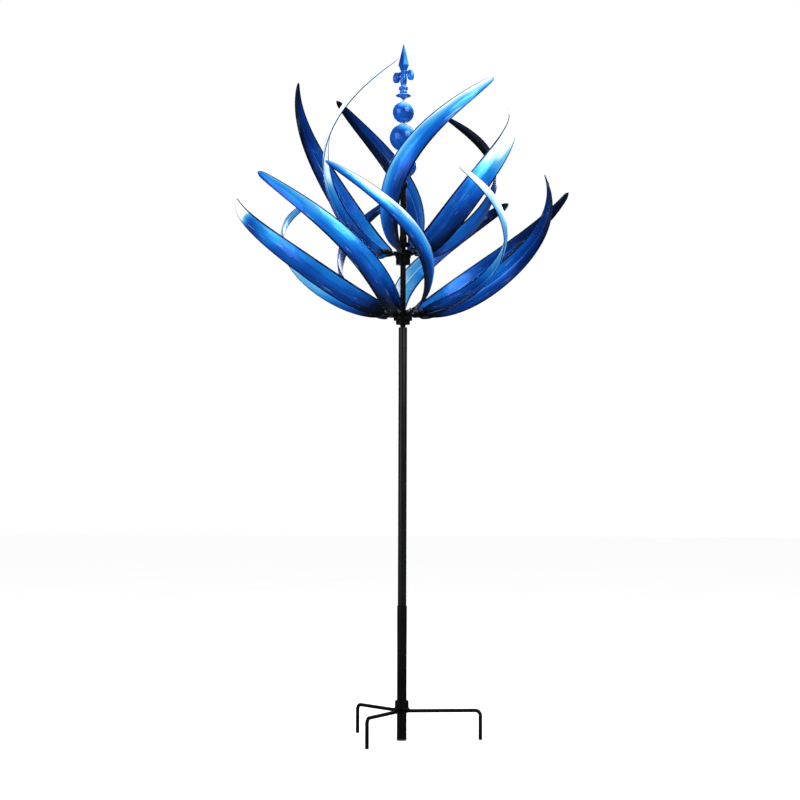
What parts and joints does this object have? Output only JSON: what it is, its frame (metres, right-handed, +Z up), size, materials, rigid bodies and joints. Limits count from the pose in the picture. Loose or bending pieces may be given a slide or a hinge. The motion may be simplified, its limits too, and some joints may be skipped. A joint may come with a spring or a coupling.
{
  "type": "wind spinner",
  "caption": "Tall garden wind spinner: prong-footed pole, two counter-turning rotors of curved blades on one spindle, and a ball and spear finial.",
  "frame": {"origin": "on the pole's axis, at the underside of the foot", "axes": "+Z up along the pole; +X to the right and -Y towards the front of the pictured view"},
  "size_m": [0.8941, 0.9547, 1.829],
  "materials": {
    "black_paint": "semi-gloss powder coat",
    "blade_blue": "glossy metallic, fading from navy to pale blue",
    "finial_blue": "high gloss",
    "steel": "satin",
    "bush_plastic": "matte"
  },
  "bodies": {
    "stand": {"base_collar": "black_paint", "collar_screw": "steel", "finial_ball_bottom": "finial_blue", "finial_ball_middle": "finial_blue", "finial_ball_top": "finial_blue", "finial_flange": "finial_blue", "finial_rod": "steel", "finial_spear": "finial_blue", "finial_stem": "finial_blue", "foot_cap": "black_paint", "foot_spigot": "black_paint", "foot_tube": "black_paint", "lower_bearing_balls": "steel", "lower_inner_races": "steel", "lower_pole": "black_paint", "pole_plug": "bush_plastic", "prong_front_left": "black_paint", "prong_rear_left": "black_paint", "prong_right": "black_paint", "spacer_tube": "black_paint", "spindle": "steel", "spindle_collar": "black_paint", "top_sleeve": "black_paint", "upper_bearing_balls": "steel", "upper_inner_races": "steel", "upper_pole": "black_paint"},
    "lower_rotor": {"lower_blade_1": "blade_blue", "lower_blade_2": "blade_blue", "lower_blade_3": "blade_blue", "lower_blade_4": "blade_blue", "lower_blade_5": "blade_blue", "lower_blade_6": "blade_blue", "lower_blade_7": "blade_blue", "lower_blade_8": "blade_blue", "lower_blade_9": "blade_blue", "lower_blade_nuts": "steel", "lower_blade_screws": "steel", "lower_hub_barrel": "black_paint", "lower_hub_nut": "black_paint", "lower_hub_plate": "black_paint", "lower_outer_races": "steel"},
    "upper_rotor": {"upper_blade_1": "blade_blue", "upper_blade_2": "blade_blue", "upper_blade_3": "blade_blue", "upper_blade_4": "blade_blue", "upper_blade_5": "blade_blue", "upper_blade_6": "blade_blue", "upper_blade_nuts": "steel", "upper_blade_screws": "steel", "upper_hub_barrel": "black_paint", "upper_hub_nut": "black_paint", "upper_hub_plate": "black_paint", "upper_outer_races": "steel"}
  },
  "joints": [
    {"name": "lower_rotor_spin", "type": "hinge", "parent": "stand", "child": "lower_rotor", "pos_m": [0, 0, 1.096], "axis": [0, 0, 1], "continuous": true},
    {"name": "upper_rotor_spin", "type": "hinge", "parent": "stand", "child": "upper_rotor", "pos_m": [0, 0, 1.254], "axis": [0, 0, 1], "continuous": true}
  ]
}
